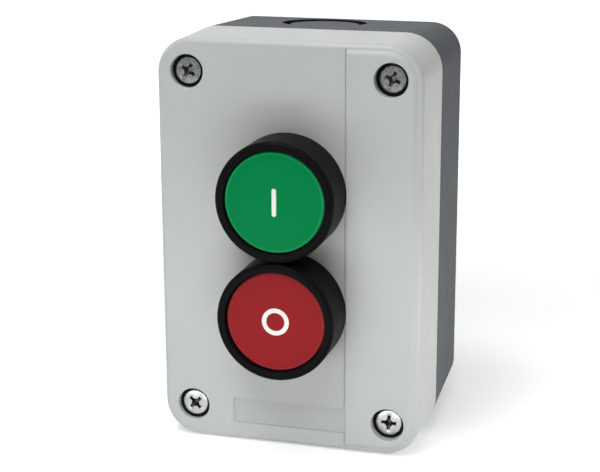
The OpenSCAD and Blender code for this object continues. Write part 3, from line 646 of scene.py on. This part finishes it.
def strip_block():
    """The raised strip on the right, with a sloping border and a step on its left."""
    foot = COVER_DRAFT + FRONT_EDGE_R
    flat = foot + STRIP_BEVEL
    profile = fillet([(foot, FRONT_Y + OVER, 0), (foot, FRONT_Y, 0), (flat, STRIP_Y, STRIP_CREST_R),
                      (flat + STRIP_FACE_IN, STRIP_Y, 0)], WIDE_EDGE_STEPS, closed=False)
    profile.insert(-1, (flat + STRIP_FRAME_W, STRIP_Y))
    rings = []
    for inset, y in profile:
        depth = max(STEP_EDGE_R - (y - STRIP_Y), 0)
        left = STEP_X + STEP_EDGE_R - math.sqrt(STEP_EDGE_R ** 2 - depth ** 2)
        points = [p for p in box_outline(inset) if p[0] > STEP_X]
        top = [p for p in points if p[1] > 0]
        bottom = [p for p in points if p[1] < 0]
        w, h = HALF_W - inset, HALF_H - inset
        rings.append(([(w, 0)] + top + [(left, h), (left, -h)] + bottom, y))
    return loft("strip_block", rings)


def nut_ring(z):
    """Low ring inside the cover around a button's nut."""
    top_y, root_y = PANEL_BACK_Y + NUT_RING_H, PANEL_BACK_Y - OVER
    return revolve("nut_ring", [(NUT_RING_IN_R, top_y), (NUT_RING_OUT_R, top_y),
                                (NUT_RING_OUT_R, root_y), (NUT_RING_IN_R, root_y)], 0, z)


def cover_room():
    """The cover's hollow, without the screw bosses and the rings around the nuts."""
    room = box_loft("cover_room", [(WALL, SEAM_Y + OVER), (WALL + COVER_DRAFT, PANEL_BACK_Y)])
    bosses = [rod("boss", BOSS_R, SEAM_Y + 2 * OVER, PANEL_BACK_Y - OVER, x, z)
              for x, z in corners_of(SCREW_X, SCREW_Z)]
    return cut(room, *bosses, nut_ring(START_Z), nut_ring(STOP_Z))


def rim_groove():
    """Groove behind the cover's lip, for the gasket and the base's tongue."""
    groove = box_loft("groove", [(LIP, SEAM_Y + OVER), (LIP, GASKET_Y)])
    inner = WALL + OVER
    return cut(groove, box_loft("groove_core", [(inner, SEAM_Y + PAST), (inner, GASKET_Y - PAST)]))


def button_hole(z):
    """Hole of a button's barrel, and the slot for its key."""
    half_w, top_z = KEY_HALF_W + KEY_GAP, z + BARREL_R + KEY_H + KEY_GAP
    back_y, front_y = PANEL_BACK_Y + OVER, FRONT_Y - OVER
    return [rod("barrel_hole", BARREL_HOLE_R, back_y, front_y, 0, z),
            block("key_hole", -half_w, half_w, back_y, front_y, z, top_z)]


def make_cover():
    shell = box_loft("cover_shell", fillet([
        (COVER_FACE_IN, SEAM_Y, 0), (0, SEAM_Y, RIM_EDGE_R), (COVER_DRAFT, FRONT_Y, FRONT_EDGE_R),
        (COVER_FACE_IN, FRONT_Y, 0)], WIDE_EDGE_STEPS, closed=False))
    join(shell, strip_block())
    holes = [screw_cutter(x, z, STRIP_Y if x > 0 else FRONT_Y) for x, z in corners_of(SCREW_X, SCREW_Z)]
    holes += button_hole(START_Z) + button_hole(STOP_Z)
    cut(shell, cover_room(), rim_groove(), *holes, label_cutter(), step_line_cutter())
    return smooth(shell)


def in_label(c):
    return (FRONT_Y + LABEL_EDGE_R < c.y < FRONT_Y + PAST and LABEL_LEFT < c.x < STEP_X
            and LABEL_LOW_Z < c.z < LABEL_HIGH_Z)


# The base

def wall_height(y):
    """Distance from the middle to the outside of the top or bottom wall, at a place along y."""
    return HALF_H - BASE_DRAFT * (1 - y / BASE_RIM_Y)


def knockout_cutter(side):
    """Round groove and sunk disc in the top (side 1) or bottom (side -1) wall, square to its slope."""
    outer = GROOVE_OUT_R + GROOVE_CHAMFER
    cutter = revolve("knockout_cutter", fillet([
        (0, -PAST, 0), (outer, -PAST, 0), (outer, 0, 0), (GROOVE_OUT_R, GROOVE_CHAMFER, 0),
        (GROOVE_OUT_R, GROOVE_D, GROOVE_CORNER_R), (GROOVE_IN_R, GROOVE_D, GROOVE_CORNER_R),
        (GROOVE_IN_R, DISC_SINK, GROOVE_CORNER_R), (0, DISC_SINK, 0)], SMALL_EDGE_STEPS))
    lean = math.atan2(BASE_DRAFT, -BASE_RIM_Y)
    cutter.data.transform(Matrix.Translation((KNOCKOUT_X, KNOCKOUT_Y, side * wall_height(KNOCKOUT_Y)))
                          @ Matrix.Rotation(-side * (math.pi / 2 + lean), 4, "X"))
    return cutter


def post_with_ribs(x, z):
    """Post of a cover screw, and its two ribs to the walls."""
    floor_y = -WALL + OVER
    wall_x = math.copysign(HALF_W - BASE_DRAFT - WALL / 2, x)
    wall_z = math.copysign(HALF_H - BASE_DRAFT - WALL / 2, z)
    return [rod("post", POST_R, floor_y, BASE_RIM_Y, x, z),
            block("rib", min(x, wall_x), max(x, wall_x), floor_y, RIB_TOP_Y, z - RIB / 2, z + RIB / 2),
            block("rib", x - RIB / 2, x + RIB / 2, floor_y, RIB_TOP_Y, min(z, wall_z), max(z, wall_z))]


def collar(x, z):
    """Raised ring around a hole for a wall screw."""
    floor_y = -WALL + OVER
    return revolve("collar", fillet([(0, floor_y, 0), (COLLAR_R, floor_y, 0),
                                     (COLLAR_R, COLLAR_TOP_Y, COLLAR_EDGE_R), (0, COLLAR_TOP_Y, 0)]),
                   x, z, SMALL_TURN_STEPS)


def mount_hole(x, z):
    """Hole for a wall screw, chamfered at the back."""
    outer, end_y = MOUNT_R + MOUNT_CHAMFER, COLLAR_TOP_Y - PAST
    return revolve("mount_hole", [(0, PAST), (outer, PAST), (outer, 0), (MOUNT_R, -MOUNT_CHAMFER),
                                  (MOUNT_R, end_y), (0, end_y)], x, z, SMALL_TURN_STEPS)


def make_tongue():
    """Thin raised rim inside the cover's lip."""
    outer = LIP + SEAT_GAP
    tongue = box_loft("tongue", fillet([
        (outer, BASE_RIM_Y + OVER, 0), (outer, TONGUE_Y, TONGUE_EDGE_R), (WALL + PAST, TONGUE_Y, 0)],
        SMALL_EDGE_STEPS, closed=False))
    return cut(tongue, box_loft("tongue_core", [(WALL, BASE_RIM_Y + PAST), (WALL, TONGUE_Y - PAST)]))


def make_base():
    shell = box_loft("base_shell", fillet([
        (BASE_FACE_IN, 0, 0), (BASE_DRAFT, 0, BACK_EDGE_R), (0, BASE_RIM_Y, RIM_EDGE_R),
        (BASE_FACE_IN, BASE_RIM_Y, 0)], SHELL_EDGE_STEPS, closed=False))
    cut(shell, box_loft("base_room", [(BASE_DRAFT + WALL, -WALL), (WALL, BASE_RIM_Y - OVER)]))
    screws = corners_of(SCREW_X, SCREW_Z)
    mounts = corners_of(MOUNT_X, MOUNT_Z)
    posts = [part for x, z in screws for part in post_with_ribs(x, z)]
    join(shell, make_tongue(), *posts, *(collar(x, z) for x, z in mounts))
    holes = [rod("insert_hole", INSERT_HOLE_R, INSERT_HOLE_Y, BASE_RIM_Y - OVER, x, z) for x, z in screws]
    holes += [mount_hole(x, z) for x, z in mounts]
    cut(shell, *holes, knockout_cutter(1), knockout_cutter(-1))
    return smooth(shell)


# Faces of the knockout groove, which take a painted shade
def in_groove(c):
    reach = math.hypot(c.x - KNOCKOUT_X, c.y - KNOCKOUT_Y)
    depth = wall_height(c.y) - abs(c.z)
    return GROOVE_IN_R - NEAR < reach < GROOVE_OUT_R + NEAR and FAR < depth < GROOVE_D + FAR


# The buttons

def make_bezel(name, z):
    """Bezel ring and barrel in one moulding."""
    thread = thread_corners(BARREL_R, BARREL_THREAD_D, BARREL_PITCH,
                            BARREL_END_Y - THREAD_START, PANEL_BACK_Y)
    ring = revolve(name, fillet([
        (SEAL_ROOM_R, FRONT_Y - SEAL_H, 0), (SEAL_ROOM_R, FRONT_Y, 0), (BEZEL_R, FRONT_Y, BEZEL_BACK_R),
        (BEZEL_R, BEZEL_Y, BEZEL_EDGE_R), (POCKET_R, BEZEL_Y, BEZEL_MOUTH_R),
        (POCKET_R, POCKET_Y, POCKET_CORNER_R), (GUIDE_R, POCKET_Y, POCKET_CORNER_R),
        (GUIDE_R, SPRING_SEAT_Y, 0), (LEDGE_HOLE_R, SPRING_SEAT_Y, 0), (LEDGE_HOLE_R, LEDGE_Y, 0),
        (BARREL_END_IN_R, LEDGE_Y, 0), (BARREL_END_IN_R, BARREL_END_Y, 0),
        (BARREL_R, BARREL_END_Y, BARREL_END_R), *thread, (BARREL_R, PANEL_BACK_Y, 0),
        (BARREL_R, FRONT_Y - SEAL_H, 0)], WIDE_EDGE_STEPS), 0, z)
    join(ring, block("key", -KEY_HALF_W, KEY_HALF_W, PANEL_BACK_Y, FRONT_Y - SEAL_H,
                     z + BARREL_R - OVER, z + BARREL_R + KEY_H))
    return smooth(ring)


def make_cap(name, z, face_y):
    """Coloured cap: a flat face with a rounded edge, a skirt and a plug."""
    cap = smooth(revolve(name, fillet([
        (0, PLUG_Y, 0), (PLUG_R, PLUG_Y, CAP_CORNER_R), (PLUG_R, CAP_ROOF_Y, CAP_CORNER_R),
        (CAP_SKIRT_IN_R, CAP_ROOF_Y, CAP_CORNER_R), (CAP_SKIRT_IN_R, CAP_SKIRT_Y, CAP_SKIRT_EDGE_R),
        (CAP_R, CAP_SKIRT_Y, CAP_SKIRT_EDGE_R), (CAP_R, face_y, CAP_EDGE_R),
        (CAP_R - CAP_FACE_IN, face_y, 0), (0, face_y, 0)], SHELL_EDGE_STEPS)))
    cap.location.z = z
    return cap


def make_bar(name, z, face_y):
    """Upright bar with round ends, the general mark for on."""
    half_w, top_y = MARK_STROKE / 2, face_y - MARK_RISE
    rings = []
    profile = fillet([(0, face_y + MARK_ROOT, 0), (0, top_y, MARK_EDGE_R), (MARK_FACE_IN, top_y, 0)],
                     SMALL_EDGE_STEPS, closed=False)
    for inset, y in profile:
        r = half_w - inset
        points = []
        for side in (1, -1):
            for k in range(BAR_END_STEPS + 1):
                a = math.radians(180) * k / BAR_END_STEPS
                points.append((side * r * math.cos(a), z + side * (MARK_HALF - half_w + r * math.sin(a))))
        rings.append((points, y))
    return smooth(loft(name, rings))


def make_ring(name, z, face_y):
    """Ring, the general mark for off."""
    inner, top_y = MARK_HALF - MARK_STROKE, face_y - MARK_RISE
    return smooth(revolve(name, fillet([
        (inner, face_y + MARK_ROOT, 0), (MARK_HALF, face_y + MARK_ROOT, 0),
        (MARK_HALF, top_y, MARK_EDGE_R), (inner, top_y, MARK_EDGE_R)], SMALL_EDGE_STEPS), 0, z))


# The cover screws

def cross_cutter(turn):
    """Tapered cross recess, drawn about the origin with the head's top at y = 0."""
    levels = ((-PAST, CROSS_FLARE), (0, CROSS_FLARE), (CROSS_FLARE, 0), (CROSS_D, -CROSS_TAPER))
    arms = []
    for k in range(2):
        rings = []
        for y, grow in levels:
            length = CROSS_HALF + grow - max(y, 0) * CROSS_END_SLOPE
            half = CROSS_W / 2 + grow
            rings.append(([(-length, -half), (length, -half), (length, half), (-length, half)], y))
        arm = loft("cross_arm", rings)
        arm.data.transform(Matrix.Rotation(turn + k * math.pi / 2, 4, "Y"))
        arms.append(arm)
    core = revolve("cross_core", [(0, -PAST), (CROSS_CORE_R, -PAST), (CROSS_CORE_R, 0),
                                  (CROSS_TIP_R, CROSS_TIP_Y), (0, CROSS_D)], steps=CROSS_TURN_STEPS)
    return join(arms[0], arms[1], core)


def make_screw(name, x, z, turn):
    """Cheese-head screw about its own origin, which then goes to its hole."""
    top_y = HEAD_SEAT_Y - HEAD_H
    end = SHANK_END_Y - top_y
    thread = thread_corners(SHANK_R, SCREW_THREAD_D, SCREW_PITCH, end - SCREW_THREAD_L, end - THREAD_START)
    screw = revolve(name, fillet([
        (0, 0, 0), (HEAD_FLAT_R, HEAD_FLAT_DROP, 0), (HEAD_R, HEAD_RIM_DROP, HEAD_EDGE_R),
        (HEAD_R, HEAD_H, HEAD_BACK_R), (SHANK_R, HEAD_H, 0), *thread,
        (SHANK_R, end - SHANK_CHAMFER, 0), (SHANK_R - SHANK_CHAMFER, end, 0), (0, end, 0)]),
        steps=SMALL_TURN_STEPS)
    cut(screw, cross_cutter(turn))
    smooth(screw, SCREW_SHARP_ANGLE)
    screw.location = (x, top_y, z)
    return screw


# Faces inside a screw's cross recess, which take a painted shade
def in_cross(c):
    return CROSS_SHADE_Y < c.y < CROSS_D + NEAR and math.hypot(c.x, c.z) < CROSS_HALF + FAR


def make_gap_shade_ring(name, x, z):
    """Black ring in the gap round a cover screw's head, a dark piece that stands in for the shade in that
    gap.
    """
    top_y = HEAD_SEAT_Y - RING_H
    return smooth(revolve(name, fillet([
        (RING_IN_R, HEAD_SEAT_Y, 0), (RING_OUT_R, HEAD_SEAT_Y, 0), (RING_OUT_R, top_y, RING_EDGE_R),
        (RING_IN_R, top_y, RING_EDGE_R)], RING_EDGE_STEPS), x, z, SMALL_TURN_STEPS))


# The springs

def make_spring(name, node, wire, turns, z):
    """Coil spring in the room of its CAD node, with a closed turn at each end."""
    low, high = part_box(node)
    mean_r = (high.x - low.x - wire) / 2
    x = (low.x + high.x) / 2
    closed = CLOSED_TURN_RISE * wire
    free = (high.y - low.y - wire - 2 * closed) / (turns - 2)
    bm = bmesh.new()
    rings = []
    for i in range(turns * COIL_STEPS + 1):
        t = i / COIL_STEPS
        height = (wire / 2 + min(t, 1) * closed + min(max(t - 1, 0), turns - 2) * free
                  + max(t - turns + 1, 0) * closed)
        a = 2 * math.pi * t
        ring = []
        for k in range(WIRE_SIDES):
            tilt = 2 * math.pi * k / WIRE_SIDES
            r = mean_r + wire / 2 * math.cos(tilt)
            y = high.y - height - wire / 2 * math.sin(tilt)
            ring.append(bm.verts.new((x + r * math.cos(a), y, z + r * math.sin(a))))
        rings.append(ring)
    for near, far in zip(rings, rings[1:]):
        for k in range(WIRE_SIDES):
            j = (k + 1) % WIRE_SIDES
            bm.faces.new((near[k], near[j], far[j], far[k]))
    bm.faces.new(rings[0])
    bm.faces.new(rings[-1])
    bmesh.ops.recalc_face_normals(bm, faces=bm.faces)
    return smooth(new_piece(name, bm))


# All pieces

def add_enclosure():
    cover = place(make_cover(), "enclosure", "cover_plastic", finish["cover_plastic"], "cover")
    second_finish(cover, finish["label_floor"], in_label)
    base = place(make_base(), "enclosure", "base_plastic", finish["base_plastic"], "base")
    second_finish(base, finish["painted_groove_shade"], in_groove)


def add_spring(side, kind, z, body, shortening):
    """A coil spring, which gets a mesh of its own unless its shortening is 0."""
    node = side + "_" + kind + "_spring"
    wire, turns = SPRINGS[kind]
    coil = place(make_spring(side + "_" + kind + "_coil", node, wire, turns, z), body,
                 "spring_steel", finish["spring_steel"], node)
    if shortening:
        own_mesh(coil)


def add_button(side, z, tint, make_mark, bridge_shortening):
    """Bezel, cap, mark and springs of one button."""
    face_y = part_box(side + "_cap")[0].y
    place(make_bezel(side + "_bezel_ring", z), "enclosure", "black_plastic", finish["black_plastic"],
          side + "_bezel")
    place(make_cap(side + "_cap_face", z, face_y), side + "_button", tint, finish[tint], side + "_cap")
    place(make_mark(side + "_mark", z, face_y), side + "_button", "white_plastic", finish["printed_white"])
    add_spring(side, "return", z, "enclosure", TRAVEL)
    add_spring(side, "plunger", z, "enclosure", TRAVEL)
    add_spring(side, "bridge", z, side + "_bridge", bridge_shortening)


def add_cover_screw(sx, sz, turn):
    """A cover screw and the black ring round its head, which stands in for the shade in the gap; the upper
    two screws take darker copies of the screw finishes, a painted shade.
    """
    corner = ("top" if sz > 0 else "bottom") + ("_right" if sx > 0 else "_left")
    # The upper two screws take darker copies of the finishes, painted shade on the same screws
    metal_name, recess_name = ("upper_zinc_painted_shade", "upper_recess_painted_shade") if sz > 0 else ("zinc_steel", "recess_painted_shade")
    x, z = sx * SCREW_X, sz * SCREW_Z
    screw = place(make_screw("cover_screw_" + corner, x, z, math.radians(turn)), "enclosure", "zinc_steel",
                  finish[metal_name], "cover_screws")
    second_finish(screw, finish[recess_name], in_cross)
    # The black ring stands in for the shade in the gap round the head
    place(make_gap_shade_ring("screw_gap_shade_" + corner, x, z), "enclosure", "rubber", finish["gap_painted_shade"])


def paint_cad_nodes():
    """Gives every node of the CAD model the finish that its record names."""
    for row in frame["record"]["subparts"]:
        for slot in frame["nodes"][row["node"]].material_slots:
            slot.material = finish[row["material_slot"]]


add_enclosure()
add_button("start", START_Z, "green_plastic", make_bar, TRAVEL - BRIDGE_TRAVEL)
add_button("stop", STOP_Z, "red_plastic", make_ring, 0)
for (sx, sz), turn in SCREW_TURNS.items():
    add_cover_screw(sx, sz, turn)
paint_cad_nodes()


# Camera at the photograph's angle

AZIMUTH = math.radians(16.496)
ELEVATION = math.radians(15.217)
ROLL = math.radians(-0.221)
DISTANCE = 419.056 * MM
TARGET = Vector((-5.129, -25.0, -4.079)) * MM
FOCAL_PIXELS = 1552.132
IMAGE_WIDTH = 600
SENSOR = 36.0
CLIP_START, CLIP_END = 0.01, 20


def make_camera():
    back = Vector((math.sin(AZIMUTH) * math.cos(ELEVATION), -math.cos(AZIMUTH) * math.cos(ELEVATION),
                   math.sin(ELEVATION)))
    right = Vector((0, 0, 1)).cross(back).normalized()
    up = back.cross(right)
    rolled_right = math.cos(ROLL) * right + math.sin(ROLL) * up
    rolled_up = math.cos(ROLL) * up - math.sin(ROLL) * right
    data = bpy.data.cameras.new("camera")
    data.sensor_width = SENSOR
    data.lens = FOCAL_PIXELS * SENSOR / IMAGE_WIDTH
    data.clip_start, data.clip_end = CLIP_START, CLIP_END
    camera = bpy.data.objects.new("camera", data)
    bpy.context.scene.collection.objects.link(camera)
    turned = Matrix((rolled_right, rolled_up, back)).transposed().to_4x4()
    camera.matrix_world = Matrix.Translation(TARGET + back * DISTANCE) @ turned
    bpy.context.scene.camera = camera


# Light, background and floor

# Name, place, aim, width, height and watts of each lamp
LAMPS = (
    ("top_lamp", (-0.02, -0.05, 0.60), (0, -0.03, 0), 0.5, 0.3, 0.70),
    ("high_lamp", (-0.12, -0.17, 0.60), (0, -0.03, 0), 0.3, 0.12, 1.36),
    ("front_lamp", (0.0, -0.40, 0.42), (0, -0.03, 0), 0.35, 0.15, 1.27),
    ("left_lamp", (-0.20, -0.20, -0.034), (0, -0.05, -0.034), 0.2, 0.03, 0.035),
    ("low_front_lamp", (0.0, -0.165, -0.045), (0, -0.053, -0.035), 0.18, 0.02, 0.059),
    ("low_right_lamp", (0.14, -0.04, -0.045), (0.033, -0.02, -0.040), 0.12, 0.02, 0.083),
    ("back_lamp", (-0.30, 0.45, -0.01), (0, 0, -0.01), 0.4, 0.06, 0.5),
)
WORLD_LIGHT = 0.05
WHITE = (1, 1, 1, 1)
FLOOR_HALF = 3.0
FLOOR_COLOUR = (0.85, 0.85, 0.85, 1)

# The floor's own white grows from the first share to the second between two distances
FADE_SHARES = (0.50, 1.0)
FADE_REACH = (0.10, 0.40)


def soft_lamp(name, place_at, aim_at, width, height, watts):
    data = bpy.data.lights.new(name, "AREA")
    data.shape = "RECTANGLE"
    data.size, data.size_y = width, height
    data.energy = watts
    lamp = bpy.data.objects.new(name, data)
    bpy.context.scene.collection.objects.link(lamp)
    lamp.location = place_at
    lamp.visible_camera = False
    lamp.rotation_euler = (Vector(aim_at) - Vector(place_at)).to_track_quat("-Z", "Y").to_euler()


def seen_white(tree):
    """1 for rays that see the background: from the camera, off gloss or through glass."""
    path = tree.nodes.new("ShaderNodeLightPath")
    total = path.outputs["Is Camera Ray"]
    for name in ("Is Glossy Ray", "Is Transmission Ray"):
        total = math_node(tree, "MAXIMUM", total, path.outputs[name])
    return total


def make_world():
    """White where it is seen, and weak as a light on the object."""
    world = bpy.data.worlds.new("studio")
    bpy.context.scene.world = world
    world.use_nodes = True
    tree = world.node_tree
    background = tree.nodes["Background"]
    background.inputs["Color"].default_value = WHITE
    strength = map_range(tree, seen_white(tree), 0, 1, WORLD_LIGHT, 1)
    tree.links.new(strength, background.inputs["Strength"])


def make_floor_paint():
    """Matt pale paint that keeps the object's shadow and turns white away from it."""
    material = bpy.data.materials.new("floor_paint")
    material.use_nodes = True
    tree = material.node_tree
    tree.nodes.remove(tree.nodes["Principled BSDF"])
    matt = tree.nodes.new("ShaderNodeBsdfDiffuse")
    matt.inputs["Color"].default_value = FLOOR_COLOUR
    coords = tree.nodes.new("ShaderNodeTexCoord")
    reach = vector_length(tree, coords.outputs["Object"])
    fade = map_range(tree, reach, *FADE_REACH, *FADE_SHARES, "SMOOTHSTEP")
    glow = tree.nodes.new("ShaderNodeEmission")
    tree.links.new(math_node(tree, "MULTIPLY", seen_white(tree), fade), glow.inputs["Strength"])
    both = tree.nodes.new("ShaderNodeAddShader")
    tree.links.new(matt.outputs[0], both.inputs[0])
    tree.links.new(glow.outputs[0], both.inputs[1])
    tree.links.new(both.outputs[0], tree.nodes["Material Output"].inputs["Surface"])
    return material


def make_floor():
    """Wide level floor under the object."""
    half = FLOOR_HALF
    bm = bmesh.new()
    corners = [(-half, -half), (half, -half), (half, half), (-half, half)]
    bm.faces.new([bm.verts.new((x, y, base_low.z)) for x, y in corners])
    floor = new_piece("floor", bm)
    floor.data.materials.append(make_floor_paint())


make_camera()
for lamp in LAMPS:
    soft_lamp(*lamp)
make_world()
make_floor()

bpy.context.scene.view_settings.view_transform = "Standard"
